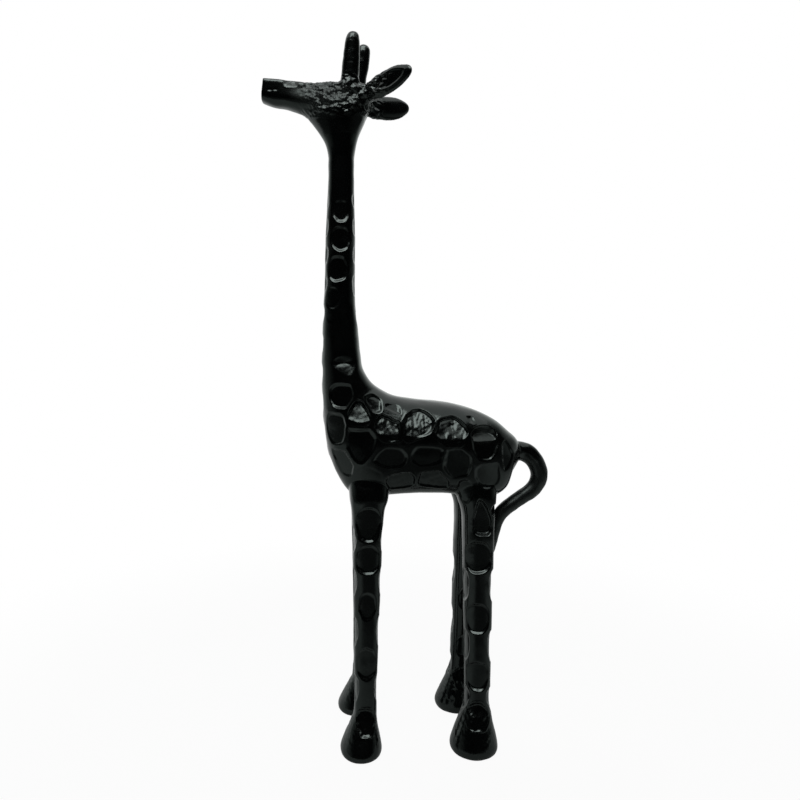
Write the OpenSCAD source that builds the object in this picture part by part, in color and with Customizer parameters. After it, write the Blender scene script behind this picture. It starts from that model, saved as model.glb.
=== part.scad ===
// A standing giraffe statue, cast in aluminium and enamelled black.
// The torso is two hollow half shells that meet on the middle plane. The neck, head, horns, ears,
// tail and legs are castings of their own, seated on pegs, studs and screws, then chased flush.
// Frame: the ground is z = 0, the giraffe faces -X, and its left side is -Y. Millimetres.

/* [Torso] */
// Length of the torso from the chest to the rump
body_length = 157; // [145:1:175]
// Depth of the torso from the belly to the back
body_depth = 72; // [66:1:80]
// Width of the torso across the ribs
body_width = 56; // [52:1:64]
// Height of the belly above the ground
belly_height = 191; // [180:1:215]
// Thickness of the hollow torso casting
shell_wall = 6; // [5:0.5:7]
// Width of the largest of the gouged spots on the flanks
spot_width = 27; // [22:0.5:28]
// Depth of the deepest of the gouged spots
spot_depth = 3; // [1:0.1:3]

/* [Neck] */
// Height of the neck's lower joint above the back
neck_stump = 72; // [66:1:84]
// Distance from the front of the chest back to the front of the neck
neck_set_back = 2.1; // [0:0.1:4]
// Depth of the neck at its lower joint, front to back
neck_base_depth = 25; // [22:0.5:28]
// Width of the neck at its lower joint
neck_base_width = 24; // [21:0.5:27]
// Length of the neck casting between its two joints
neck_length = 115; // [90:1:150]
// Depth of the neck at its upper joint, front to back
neck_top_depth = 20; // [18:0.5:23]
// Width of the neck at its upper joint
neck_top_width = 19; // [17:0.5:22]
// How far the neck leans back from its base to its top
neck_lean = 1.5; // [-3:0.5:4]

/* [Head] */
// Length of the head from the snout to the poll
head_length = 80.5; // [70:0.5:95]
// Height of the crown above the neck's upper joint
head_height = 56; // [50:0.5:62]
// Width of the head across the cheeks
head_width = 27; // [24:0.5:32]
// Turn of the head about the neck, nose to the right side
head_turn = 5; // [0:1:12]
// Length of a horn above the crown
horn_length = 31; // [24:0.5:38]
// Thickness of a horn, front to back
horn_depth = 11; // [9:0.5:13]
// Distance between the two horns
horn_spacing = 18; // [16:0.5:20]
// Length of an ear's leaf
ear_length = 39.5; // [30:0.5:46]
// Width of an ear's leaf
ear_width = 17.5; // [12:0.5:19]
// Thickness of an ear's leaf
ear_thickness = 6; // [5:0.5:8]
// Angle of the ears outwards from straight back
ear_spread = 36; // [28:1:44]
// Angle of the left ear upwards
ear_lift_left = 11; // [6:1:22]
// Angle of the right ear upwards
ear_lift_right = 9; // [0:1:22]
// How much lower the right ear is rooted than the left one
ear_drop = 3; // [0:0.5:4]

/* [Tail] */
// Thickness of the tail where it leaves the rump
tail_root = 14; // [12:0.5:15]
// Thickness of the tail at its tip
tail_tip = 6; // [5:0.5:8]
// How far the tail's loop stands out behind the rump
tail_reach = 24; // [20:0.5:30]
// Drop of the tail from its root to its tip
tail_drop = 84; // [74:1:96]

/* [Legs] */
// Distance of the front legs behind the front of the chest
front_leg_inset = 35.6; // [32:0.2:39]
// Distance of the rear legs ahead of the rump
rear_leg_inset = 36.2; // [35:0.2:42]
// Distance between the left and right hoof centres on the ground
stance = 62; // [58:1:68]
// Distance between the left and right leg centres at their joints with the torso
leg_spacing = 27; // [26:0.5:29]
// Height of the leg joints below the belly
leg_joint_drop = 15; // [12:0.5:20]
// Depth of a leg at its joint, front to back
leg_top_depth = 24.4; // [22:0.2:26]
// How far the right front leg stands behind the left one
front_stagger = 3; // [0:0.5:4]
// How far the front hooves stand ahead of the left front leg's joint
front_hoof_ahead = 6.2; // [3:0.2:8]
// How far the rear hooves stand ahead of the rear legs' joints
rear_hoof_ahead = 6; // [3:0.2:8]
// Depth of a front leg's shank, front to back
front_shank = 16.2; // [14:0.2:18]
// Depth of a rear leg's shank, front to back
rear_shank = 18.4; // [16:0.2:20]
// Length of a front hoof
front_hoof = 31; // [28:0.5:34]
// Length of a rear hoof
rear_hoof = 35.5; // [32:0.5:39]
// Width of a front hoof
front_hoof_width = 36; // [30:0.5:38]
// Width of a rear hoof
rear_hoof_width = 35; // [30:0.5:38]
// Height of the front hooves
front_hoof_height = 32; // [26:1:38]
// Height of the rear hooves
rear_hoof_height = 38; // [30:1:44]
// Thickness of the felt pad under each hoof
pad_thickness = 1; // [0.5:0.1:2]

/* [Fixings] */
// Diameter of the studs and screws
stud_d = 6; // [5:1:6]
// Depth of a stud or screw in its tapped hole
stud_grip = 14; // [10:1:18]
// Diameter of the round register on top of each leg
register_d = 14; // [12:0.5:16]
// Height of the register on top of each leg
register_height = 5; // [4:0.5:6]
// Thickness of the torso's metal above each leg register
leg_floor = 5; // [4:0.5:6]
// Diameter of the pegs that carry the horns and ears
peg_d = 5; // [4:0.5:6]
// Length of the pegs that carry the horns and ears, below the head's skin
peg_length = 7; // [5:0.5:8]
// Diameter of the peg that carries the tail
tail_peg_d = 8; // [7:0.5:9]
// Diameter of the dowels between the torso shells
dowel_d = 3; // [2:0.5:3]
// Length of the dowels between the torso shells
dowel_length = 10; // [8:1:12]
// Radial clearance of every stud, peg, dowel and register in its hole
clearance = 0.1; // [0.05:0.05:0.2]

/* [Hidden] */

ENAMEL = [0.02, 0.023, 0.023];
STEEL = [0.62, 0.63, 0.65];
FELT = [0.09, 0.09, 0.09];

SIDES = 28;       // points round the torso, neck and head
LEG_SIDES = 20;   // points round a leg
SLIM_SIDES = 14;  // points round the tail, a horn or an ear
BOX = 2.3;        // power of the torso's section, a little squarer than an ellipse

// Heights and places that the pieces share
back_z = belly_height + body_depth;
neck_z = back_z + neck_stump;
head_z = neck_z + neck_length;
leg_z = belly_height - leg_joint_drop;
neck_front = neck_set_back;
neck_back = neck_front + neck_base_depth;
neck_x = (neck_front + neck_back) / 2;
head_x = neck_x + neck_lean;
front_leg_x = front_leg_inset;
rear_leg_x = body_length - rear_leg_inset;
leg_y = leg_spacing / 2;
withers_fillet = 20;

// Fixing sizes that follow from the stud
washer_d = 2 * stud_d;
washer_t = 1.6;
nut_af = stud_d + 4;
nut_t = 5;
screw_head_d = stud_d + 4;
seat_d = washer_d + 2;
leg_seat_z = leg_z + register_height + leg_floor;
neck_plug = 16;
neck_well = 40;
screw_room = 16;
tail_start = 1.5;   // how far inside the rump's end the tail's line begins
neck_seat_z = neck_z - neck_plug;

// The whole statue is shifted so that its box, from the snout to the tail, is centred on the origin.
snout_x = head_x - 0.728 * head_length * cos(head_turn) - 0.24 * head_width * sin(head_turn);
tail_out_x = body_length - tail_start + 0.70 * (tail_reach + tail_start) + 0.48 * tail_root;
shift_x = -(snout_x + tail_out_x) / 2;

// ---- curves and lofts ------------------------------------------------------------------------

// A station is [x, z of one edge, x, z of the other edge, half width, y of its centre].
function station(a, b, half_width, y = 0) = [a[0], a[1], b[0], b[1], half_width, y];

// A smooth curve through the stations, cut into steps between each pair.
function between(p, i, t) =
    let (n = len(p) - 1, a = p[max(i - 1, 0)], b = p[i], c = p[min(i + 1, n)], d = p[min(i + 2, n)])
    0.5 * (2 * b + (c - a) * t + (2 * a - 5 * b + 4 * c - d) * t * t
           + (3 * b - a - 3 * c + d) * t * t * t);
function smooth(p, steps) = concat(
    [for (i = [0 : len(p) - 2], k = [0 : steps - 1]) between(p, i, k / steps)],
    [p[len(p) - 1]]
);

// A point at angle t on the rim of a station's section.
function bulge(v, power) = sign(v) * pow(abs(v), 2 / power);
function rim(s, t, power) =
    let (k = bulge(cos(t), power), w = bulge(sin(t), power))
    [(s[0] + s[2]) / 2 + (s[0] - s[2]) / 2 * k, s[5] + s[4] * w,
     (s[1] + s[3]) / 2 + (s[1] - s[3]) / 2 * k];

// A solid through rings of points, with flat ends. Turned rings are given in the other order.
module skin(rings) {
    n = len(rings[0]);
    last = len(rings) - 1;
    polyhedron(
        points = [for (r = rings) each r],
        faces = concat(
            [[for (j = [0 : n - 1]) j]],
            [for (i = [0 : last - 1], j = [0 : n - 1])
                let (a = i * n + j, b = i * n + (j + 1) % n) [a, a + n, b]],
            [for (i = [0 : last - 1], j = [0 : n - 1])
                let (a = i * n + j, b = i * n + (j + 1) % n) [b, a + n, b + n]],
            [[for (j = [n - 1 : -1 : 0]) last * n + j]]
        )
    );
}
module loft(stations, sides, power = 2) {
    skin([for (s = stations) [for (j = [0 : sides - 1]) rim(s, 360 * j / sides, power)]]);
}
// The half of a loft on the +Y side, flat on the middle plane.
module half_loft(stations, sides, power = 2) {
    skin([for (s = stations) [for (j = [0 : sides / 2]) rim(s, 360 * j / sides, power)]]);
}
// Left-hand pieces are the right-hand ones mirrored in the middle plane.
module on_side(side) {
    mirror([0, side < 0 ? 1 : 0, 0]) children();
}
module place() {
    translate([shift_x, 0, 0]) children();
}

// ---- torso -----------------------------------------------------------------------------------

// A point of the body, as shares of its length and of its depth above the belly.
function body(along, up) = [along * body_length, belly_height + up * body_depth];
// A point of the hollow where the back turns up into the neck.
function withers(along, up) = [neck_back + along * withers_fillet, back_z + up * neck_stump];
// A point of the throat, as shares of the body's length and of the stump above the back.
function throat(along, up) = [along * body_length, back_z + up * neck_stump];
function half(share) = share * body_width / 2;

trunk = [
    station(body(0.997, 0.486), body(0.984, 0.319), half(0.20)),
    station(body(0.975, 0.590), body(0.953, 0.194), half(0.48)),
    station(body(0.927, 0.678), body(0.926, 0.035), half(0.72)),
    station(body(0.857, 0.799), body(0.857, -0.035), half(0.89)),
    station(body(0.755, 0.903), body(0.755, -0.042), half(0.97)),
    station(body(0.628, 0.979), body(0.628, -0.007), half(0.99)),
    station(body(0.469, 1.014), body(0.488, 0.007), half(0.99)),
    station(body(0.360, 1.053), body(0.348, 0.000), half(0.97)),
    station(withers(1.00, 0.12), body(0.220, -0.028), half(0.95)),
    station(withers(0.63, 0.20), body(0.138, 0.028), half(0.91)),
    station(withers(0.38, 0.30), body(0.083, 0.208), half(0.84)),
    station(withers(0.24, 0.39), body(0.045, 0.389), half(0.77)),
    station(withers(0.18, 0.51), body(0.020, 0.653), half(0.69)),
    station(withers(0.13, 0.65), throat(0.008, -0.014), half(0.60)),
    station(withers(0.08, 0.82), throat(0.005, 0.403), half(0.52)),
    station([neck_back, neck_z], [neck_front, neck_z], neck_base_width / 2)
];

// The same stations drawn in by the wall, for the hollow inside.
function drawn_in(s, wall) =
    let (h = [s[0] - s[2], s[1] - s[3]], k = wall / norm(h))
    [s[0] - k * h[0], s[1] - k * h[1], s[2] + k * h[0], s[3] + k * h[1], s[4] - wall, s[5]];
hollow_from = 3;
hollow_to = 13;
hollow = [for (i = [hollow_from : hollow_to]) drawn_in(trunk[i], shell_wall)];

// Stubs under the torso that the legs are seated on. They spread more on the belly's side, which
// is behind a front leg (way = 1) and ahead of a rear one (way = -1).
function leg_top_width(z) = leg_spacing - 3;
function stub_station(x, z, way, outer, inner, side) =
    let (h = leg_top_depth / 2, ahead = way > 0 ? outer : inner, behind = way > 0 ? inner : outer)
    station([x + h + behind, z], [x - h - ahead, z],
            leg_top_width(z) / 2 + side, leg_y + side);
module leg_stub(x, way) {
    loft(smooth([
        stub_station(x, leg_z, way, 0, 0, 0),
        stub_station(x, leg_z + 0.5 * leg_joint_drop, way, 0.3, 0.8, 0.3),
        stub_station(x, belly_height, way, 1, 5, 1.2),
        stub_station(x, belly_height + 0.26 * body_depth, way, 2, 4, 0.5),
        stub_station(x, belly_height + 0.5 * body_depth, way, -3, -3, -2)
    ], 3), LEG_SIDES);
}
function front_x(side) = front_leg_x + (side > 0 ? front_stagger : 0);

// The gouged spots of a flank, from the neck and chest to the rump, in rows from the top. Each has:
// its station along the trunk, its way round from the back in degrees, its width and its height as
// shares of the largest spot, its depth as a share of the deepest one.
flank_spots = [
    [12.9, 82, 0.55, 0.50, 0.55], [12.1, 94, 0.75, 0.70, 0.80], [9.8, 76, 0.68, 0.75, 0.80],
    [8.6, 48, 0.42, 0.55, 0.40], [7.5, 70, 0.78, 0.75, 0.80], [6.1, 62, 0.96, 0.90, 1.00],
    [5.0, 68, 0.94, 0.84, 0.95], [3.7, 74, 0.78, 0.90, 0.85], [2.4, 82, 0.45, 0.90, 0.75],
    [11.5, 118, 0.68, 0.88, 0.95], [8.8, 94, 0.96, 0.96, 0.75], [7.3, 98, 0.94, 0.60, 0.40],
    [5.8, 96, 0.88, 0.58, 0.40], [4.8, 100, 0.74, 0.85, 0.60], [3.6, 103, 0.74, 0.46, 0.45],
    [10.0, 132, 0.72, 0.78, 0.60], [6.6, 128, 0.70, 0.58, 0.45], [5.6, 124, 0.92, 0.60, 0.50]
];
SPOT_SIDES = 8;
function on_trunk(at, turn) = rim(between(trunk, floor(at), at - floor(at)), turn, BOX);

// A spot is a shallow pocket with a flat floor, square to the skin at its middle.
module gouged_spot(spot) {
    middle = on_trunk(spot[0], spot[1]);
    ahead = on_trunk(spot[0] + 0.1, spot[1]) - on_trunk(spot[0] - 0.1, spot[1]);
    down = on_trunk(spot[0], spot[1] + 2) - on_trunk(spot[0], spot[1] - 2);
    out = cross(down, ahead) / norm(cross(down, ahead));
    level = cross([0, 0, 1], out) / norm(cross([0, 0, 1], out));
    up = cross(out, level);
    width = spot[2] * spot_width;
    height = spot[3] * spot_width;
    depth = spot[4] * spot_depth;
    half_side = 180 / SPOT_SIDES;
    multmatrix([[level.x, up.x, out.x, middle.x], [level.y, up.y, out.y, middle.y],
                [level.z, up.z, out.z, middle.z]])
        translate([0, 0, -depth]) linear_extrude(2 * depth)
            polygon([for (i = [0 : SPOT_SIDES - 1]) let (t = (2 * i + 1) * half_side)
                0.5 * [width * cos(t), height * sin(t)] / cos(half_side)]);
}

// A point within the wall on the middle plane, a little nearer the hollow, since the skin is curved.
in_wall = 0.58 * shell_wall;
function rim_point(s, from_top) =
    let (h = [s[0] - s[2], s[1] - s[3]], k = in_wall / norm(h))
    from_top ? [s[0] - k * h[0], 0, s[1] - k * h[1]] : [s[2] + k * h[0], 0, s[3] + k * h[1]];
dowel_points = [
    rim_point(trunk[4], true), rim_point(trunk[7], true), rim_point(trunk[6], false),
    [neck_front + 0.2 * neck_base_depth, 0, neck_z - neck_plug / 2]
];

module across(d, length) {
    rotate([90, 0, 0]) cylinder(d = d, h = length, center = true, $fn = 32);
}
module torso_half(side) {
    color(ENAMEL) place() on_side(side) difference() {
        union() {
            half_loft(smooth(trunk, 2), SIDES, BOX);
            leg_stub(front_x(side), 1);
            leg_stub(rear_leg_x, -1);
        }
        loft(smooth(hollow, 2), SIDES, BOX);
        for (x = [front_x(side), rear_leg_x]) translate([x, leg_y, 0]) {
            translate([0, 0, leg_z - 1])
                cylinder(d = register_d + 2 * clearance, h = register_height + 1, $fn = 48);
            translate([0, 0, leg_z])
                cylinder(d = stud_d + 2 * clearance, h = leg_seat_z - leg_z + 1, $fn = 32);
            translate([0, 0, leg_seat_z])
                cylinder(d = seat_d, h = shell_wall + screw_room, $fn = 48);
        }
        translate([neck_x, 0, neck_seat_z - 1])
            cylinder(d = stud_d + 2 * clearance, h = neck_plug + 2, $fn = 32);
        translate([neck_x, 0, neck_seat_z - neck_well])
            cylinder(d = seat_d, h = neck_well, $fn = 48);
        tail_peg(2 * clearance);
        tail_pin_rod(2 * clearance);
        for (p = dowel_points) translate(p) across(dowel_d + 2 * clearance, dowel_length + 1);
        for (spot = flank_spots) gouged_spot(spot);
    }
}

// ---- neck ------------------------------------------------------------------------------------

function neck_station(t, taper) =
    let (z = neck_z + t * neck_length,
         x = neck_x + t * neck_lean,
         depth = neck_base_depth + (neck_top_depth - neck_base_depth) * taper,
         width = neck_base_width + (neck_top_width - neck_base_width) * taper)
    station([x + depth / 2, z], [x - depth / 2, z], width / 2);

module neck_casting() {
    color(ENAMEL) place() difference() {
        loft(smooth([
            neck_station(0, 0), neck_station(0.15, 0.34), neck_station(0.42, 0.42),
            neck_station(0.61, 0.68), neck_station(0.8, 1), neck_station(1, 1)
        ], 3), SIDES, 2.1);
        translate([neck_x, 0, neck_z - 1])
            cylinder(d = stud_d, h = stud_grip + 1, $fn = 32);
        translate([head_x, 0, head_z - stud_grip])
            cylinder(d = stud_d, h = stud_grip + 1, $fn = 32);
    }
}

// ---- head ------------------------------------------------------------------------------------

// A point of the head, as shares of its length behind the neck's axis and of its height.
function head_point(along, up) = [along * head_length, up * head_height];
function cheek(share) = share * head_width / 2;
face = [
    station([neck_top_depth / 2, 0], [-neck_top_depth / 2, 0], neck_top_width / 2),
    station(head_point(0.148, 0.19), head_point(-0.150, 0.16), cheek(0.75)),
    station(head_point(0.200, 0.39), head_point(-0.212, 0.325), cheek(0.86)),
    station(head_point(0.262, 0.61), head_point(-0.285, 0.465), cheek(0.96)),
    station(head_point(0.278, 0.84), head_point(-0.341, 0.548), cheek(1.00)),
    station(head_point(0.135, 0.97), head_point(-0.393, 0.585), cheek(0.94)),
    station(head_point(-0.088, 0.968), head_point(-0.461, 0.618), cheek(0.80)),
    station(head_point(-0.300, 0.962), head_point(-0.548, 0.648), cheek(0.66)),
    station(head_point(-0.523, 1.000), head_point(-0.640, 0.675), cheek(0.56)),
    station(head_point(-0.715, 1.024), head_point(-0.712, 0.728), cheek(0.50)),
    station(head_point(-0.728, 1.022), head_point(-0.728, 0.752), cheek(0.47))
];

module at_head() {
    place() translate([head_x, 0, head_z]) rotate([0, 0, -head_turn]) children();
}
module head_form() {
    loft(smooth(face, 2), SIDES, 2.15);
}

// Horn roots and ear roots, as [x, y, z] from the neck's upper joint.
horn_at = [[0.086 * head_length, -horn_spacing / 2, 0.9 * head_height],
           [0.155 * head_length, horn_spacing / 2, 0.9 * head_height]];
ear_y = 0.36 * head_width;
function ear_at(side) =
    [0.235 * head_length, ear_y, 0.755 * head_height - (side > 0 ? ear_drop : 0)];
horn_lean = [4, 8];

module at_horn(i) {
    translate(horn_at[i]) rotate([0, horn_lean[i], 0]) children();
}
module at_ear(side) {
    lift = side < 0 ? ear_lift_left : ear_lift_right;
    on_side(side) translate(ear_at(side)) rotate([0, 0, ear_spread]) rotate([0, 90 - lift, 0]) children();
}
module peg(extra = 0) {
    translate([0, 0, -peg_length - extra])
        cylinder(d = peg_d + 2 * extra, h = peg_length + 4 + extra, $fn = 32);
}

module head_casting() {
    color(ENAMEL) at_head() difference() {
        head_form();
        translate([0, 0, -1]) cylinder(d = stud_d, h = stud_grip + 1, $fn = 32);
        for (i = [0, 1]) at_horn(i) peg(clearance);
        for (side = [-1, 1]) at_ear(side) peg(clearance);
    }
}

// ---- horns and ears --------------------------------------------------------------------------

function stalk(z, depth, width) = station([depth / 2, z], [-depth / 2, z], width / 2);

module horn(i) {
    rise = horn_length + 0.1 * head_height;
    color(ENAMEL) at_head() union() {
        difference() {
            at_horn(i) loft(smooth([
                stalk(1, 1.12 * horn_depth, 0.85 * horn_depth),
                stalk(0.35 * rise, 1.08 * horn_depth, 0.85 * horn_depth),
                stalk(0.75 * rise, 0.95 * horn_depth, 0.78 * horn_depth),
                stalk(0.92 * rise, 0.72 * horn_depth, 0.62 * horn_depth),
                stalk(rise, 0.3 * horn_depth, 0.26 * horn_depth)
            ], 3), SLIM_SIDES);
            head_form();
        }
        at_horn(i) peg();
    }
}

module ear(side) {
    color(ENAMEL) at_head() union() {
        difference() {
            at_ear(side) loft(smooth([
                stalk(1, 0.55 * ear_width, 0.95 * ear_thickness),
                stalk(0.22 * ear_length, 0.72 * ear_width, ear_thickness),
                stalk(0.50 * ear_length, 1.00 * ear_width, 0.95 * ear_thickness),
                stalk(0.74 * ear_length, 0.95 * ear_width, 0.8 * ear_thickness),
                stalk(0.91 * ear_length, 0.60 * ear_width, 0.6 * ear_thickness),
                stalk(ear_length, 0.22 * ear_width, 0.3 * ear_thickness)
            ], 3), SLIM_SIDES);
            head_form();
        }
        at_ear(side) peg();
    }
}

// ---- tail ------------------------------------------------------------------------------------

// The tail's line is a loop behind the rump, given from its root as shares of its reach and drop.
tail_root_z = belly_height + 0.46 * body_depth;
tail_line = [
    [-0.20, 0.015, 1.00], [0.08, 0.005, 1.00], [0.37, 0.042, 0.96], [0.60, 0.130, 0.94],
    [0.70, 0.247, 0.93], [0.54, 0.362, 0.84], [0.20, 0.440, 0.72], [-0.16, 0.515, 0.68],
    [-0.46, 0.590, 0.64], [-0.62, 0.680, 0.50], [-0.70, 0.790, 0.34], [-0.77, 0.905, 0.18],
    [-0.82, 0.985, 0.00], [-0.825, 1.000, -0.45]
];
function tail_point(i) =
    [body_length - tail_start + tail_line[i][0] * (tail_reach + tail_start),
     tail_root_z - tail_line[i][1] * tail_drop];
function tail_station(i) =
    let (n = len(tail_line) - 1,
         way = tail_point(min(i + 1, n)) - tail_point(max(i - 1, 0)),
         out = [way[1], -way[0]] / norm(way),
         r = (tail_tip + (tail_root - tail_tip) * tail_line[i][2]) / 2,
         p = tail_point(i))
    station(p + r * out, p - r * out, r);

tail_peg_in = 20;
module tail_peg(extra = 0) {
    translate([body_length - tail_peg_in - extra, 0, tail_root_z])
        rotate([0, 90, 0]) cylinder(d = tail_peg_d + extra, h = tail_peg_in + 4 + extra, $fn = 32);
}
tail_pin_x = body_length - tail_peg_in + 5;
module tail_pin_rod(extra = 0) {
    translate([tail_pin_x, 0, tail_root_z])
        cylinder(d = dowel_d + extra, h = tail_peg_d + 6 + extra, center = true, $fn = 32);
}
module tail_casting() {
    color(ENAMEL) place() difference() {
        union() {
            difference() {
                loft(smooth([for (i = [0 : len(tail_line) - 1]) tail_station(i)], 2), SLIM_SIDES);
                loft(smooth(trunk, 2), SIDES, BOX);
            }
            tail_peg();
        }
        tail_pin_rod(2 * clearance);
    }
}

// ---- legs ------------------------------------------------------------------------------------

hoof_flare = [[0, 0.90], [0.06, 1], [0.17, 0.93], [0.36, 0.72], [0.55, 0.45], [0.75, 0.20], [1, 0.03]];
function leg_lean(z) = leg_y + (stance / 2 - leg_y) * (leg_z - z) / leg_z;
function leg_station(x, z, depth, width) =
    station([x + depth / 2, z], [x - depth / 2, z], width / 2, leg_lean(z));

// A leg: shank is its least depth, hoof its hoof's [length, width], toe how far the hoof stands ahead.
function leg_stations(x, shank, hoof, hoof_height, toe) = concat(
    [for (f = hoof_flare)
        let (z = pad_thickness + f[0] * (hoof_height - pad_thickness))
        leg_station(x - toe + 0.45 * toe * f[0], z, shank + (hoof[0] - shank) * f[1],
                    0.95 * shank + (hoof[1] - 0.95 * shank) * f[1])],
    [for (t = [0.2, 0.45, 0.72, 1])
        let (z = hoof_height + t * (leg_z - hoof_height), k = pow(t, 1.35))
        leg_station(x - 0.55 * toe * (1 - t), z, shank + (leg_top_depth - shank) * k,
                    0.95 * shank + (leg_top_width(z) - 0.95 * shank) * k)]
);

module leg(side, x, shank, hoof, hoof_height, toe) {
    color(ENAMEL) place() on_side(side) difference() {
        union() {
            loft(smooth(leg_stations(x, shank, hoof, hoof_height, toe), 2), LEG_SIDES);
            translate([x, leg_y, leg_z - 1]) cylinder(d = register_d, h = register_height + 1, $fn = 48);
        }
        translate([x, leg_y, leg_z + register_height - stud_grip])
            cylinder(d = stud_d, h = stud_grip + 1, $fn = 32);
    }
}
front_hoof_size = [front_hoof, front_hoof_width];
rear_hoof_size = [rear_hoof, rear_hoof_width];
front_hoof_x = front_leg_x - front_hoof_ahead;
rear_hoof_x = rear_leg_x - rear_hoof_ahead;
module front_leg(side) {
    x = front_x(side);
    leg(side, x, front_shank, front_hoof_size, front_hoof_height, x - front_hoof_x);
}
module rear_leg(side) {
    leg(side, rear_leg_x, rear_shank, rear_hoof_size, rear_hoof_height, rear_leg_x - rear_hoof_x);
}

module foot_pad(side, x, hoof) {
    color(FELT) place() on_side(side) translate([x, stance / 2, 0])
        cylinder(d = 0.8 * hoof[0], h = pad_thickness, $fn = 48);
}
module front_pad(side) {
    foot_pad(side, front_hoof_x, front_hoof_size);
}
module rear_pad(side) {
    foot_pad(side, rear_hoof_x, rear_hoof_size);
}

// ---- fixings ---------------------------------------------------------------------------------

module each_leg() {
    for (side = [-1, 1], x = [front_x(side), rear_leg_x])
        place() on_side(side) translate([x, leg_y, leg_seat_z]) children();
}
module washer() {
    difference() {
        cylinder(d = washer_d, h = washer_t, $fn = 48);
        translate([0, 0, -1]) cylinder(d = stud_d + 0.4, h = washer_t + 2, $fn = 32);
    }
}
module leg_screws() {
    reach = leg_floor + stud_grip - register_height;
    color(STEEL) each_leg() union() {
        translate([0, 0, washer_t]) difference() {
            cylinder(d = screw_head_d, h = stud_d, $fn = 48);
            translate([0, 0, stud_d / 2]) cylinder(d = 0.9 * stud_d, h = stud_d, $fn = 6);
        }
        translate([0, 0, -reach]) cylinder(d = stud_d, h = reach + washer_t + 1, $fn = 32);
    }
}
module leg_washers() {
    color(STEEL) each_leg() washer();
}
module neck_stud() {
    below = neck_plug + washer_t + nut_t + 2;
    color(STEEL) place() translate([neck_x, 0, neck_z - below])
        cylinder(d = stud_d, h = below + stud_grip, $fn = 32);
}
module neck_washer() {
    color(STEEL) place() translate([neck_x, 0, neck_seat_z - washer_t]) washer();
}
module neck_nut() {
    color(STEEL) place() translate([neck_x, 0, neck_seat_z - washer_t - nut_t]) difference() {
        cylinder(d = nut_af / cos(30), h = nut_t, $fn = 6);
        translate([0, 0, -1]) cylinder(d = stud_d, h = nut_t + 2, $fn = 32);
    }
}
module head_stud() {
    color(STEEL) place() translate([head_x, 0, head_z - stud_grip])
        cylinder(d = stud_d, h = 2 * stud_grip, $fn = 32);
}
module tail_pin() {
    color(STEEL) place() tail_pin_rod();
}
module shell_dowels() {
    color(STEEL) place() for (p = dowel_points) translate(p) across(dowel_d, dowel_length);
}

torso_half(-1);  // torso_left_shell
torso_half(1);  // torso_right_shell
neck_casting();
head_casting();
horn(0);  // horn_left
horn(1);  // horn_right
ear(-1);  // ear_left
ear(1);  // ear_right
tail_casting();
front_leg(-1);  // leg_front_left
front_leg(1);  // leg_front_right
rear_leg(-1);  // leg_rear_left
rear_leg(1);  // leg_rear_right
front_pad(-1);  // foot_pad_front_left
front_pad(1);  // foot_pad_front_right
rear_pad(-1);  // foot_pad_rear_left
rear_pad(1);  // foot_pad_rear_right
leg_screws();
leg_washers();
neck_stud();
neck_nut();
neck_washer();
head_stud();
tail_pin();
shell_dowels();
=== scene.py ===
import bpy
import numpy as np
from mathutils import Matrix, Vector, geometry


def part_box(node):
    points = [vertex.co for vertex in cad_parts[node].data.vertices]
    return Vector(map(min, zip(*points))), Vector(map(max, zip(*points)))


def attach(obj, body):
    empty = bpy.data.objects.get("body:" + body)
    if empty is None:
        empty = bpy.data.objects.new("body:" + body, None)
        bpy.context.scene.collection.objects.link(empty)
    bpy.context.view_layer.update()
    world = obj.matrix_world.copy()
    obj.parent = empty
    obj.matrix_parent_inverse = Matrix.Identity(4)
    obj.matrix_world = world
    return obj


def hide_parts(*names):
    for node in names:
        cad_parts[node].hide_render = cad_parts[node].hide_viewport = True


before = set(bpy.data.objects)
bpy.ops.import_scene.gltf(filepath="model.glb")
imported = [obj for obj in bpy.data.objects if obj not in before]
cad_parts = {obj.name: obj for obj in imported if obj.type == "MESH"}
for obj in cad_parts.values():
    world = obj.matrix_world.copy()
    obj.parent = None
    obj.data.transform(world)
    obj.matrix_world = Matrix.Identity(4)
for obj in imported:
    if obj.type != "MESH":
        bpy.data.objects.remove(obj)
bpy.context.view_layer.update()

# ---- torso, neck and head: the rough casting ----------------------------------------------------
# Hollow torso shells, solid neck and solid head, cast in aluminium. They are welded together and
# chased, so their skin runs on from the rump to the snout. Lengths are in millimetres, x from the chest.
neck_set_back = 2.1
chest_x = 1000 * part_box("neck_casting")[0].x - neck_set_back
neck_joint_z = 1000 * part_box("neck_casting")[0].z
head_joint_z = 1000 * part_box("neck_casting")[1].z
head_x = 16.1
head_turn = 5.0
throat_start, throat_length = -10, 30


def along_curve(stations, steps):
    """Stations on a smooth curve through the given ones, with that many steps between each pair."""
    p = np.asarray(stations, float)
    out = []
    for i in range(len(p) - 1):
        a, b, c, d = p[max(i - 1, 0)], p[i], p[i + 1], p[min(i + 2, len(p) - 1)]
        for t in np.arange(steps) / steps:
            out.append(0.5 * (2 * b + (c - a) * t + (2 * a - 5 * b + 4 * c - d) * t * t
                              + (3 * b - a - 3 * c + d) * t ** 3))
    return np.array(out + [p[-1]])


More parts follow.
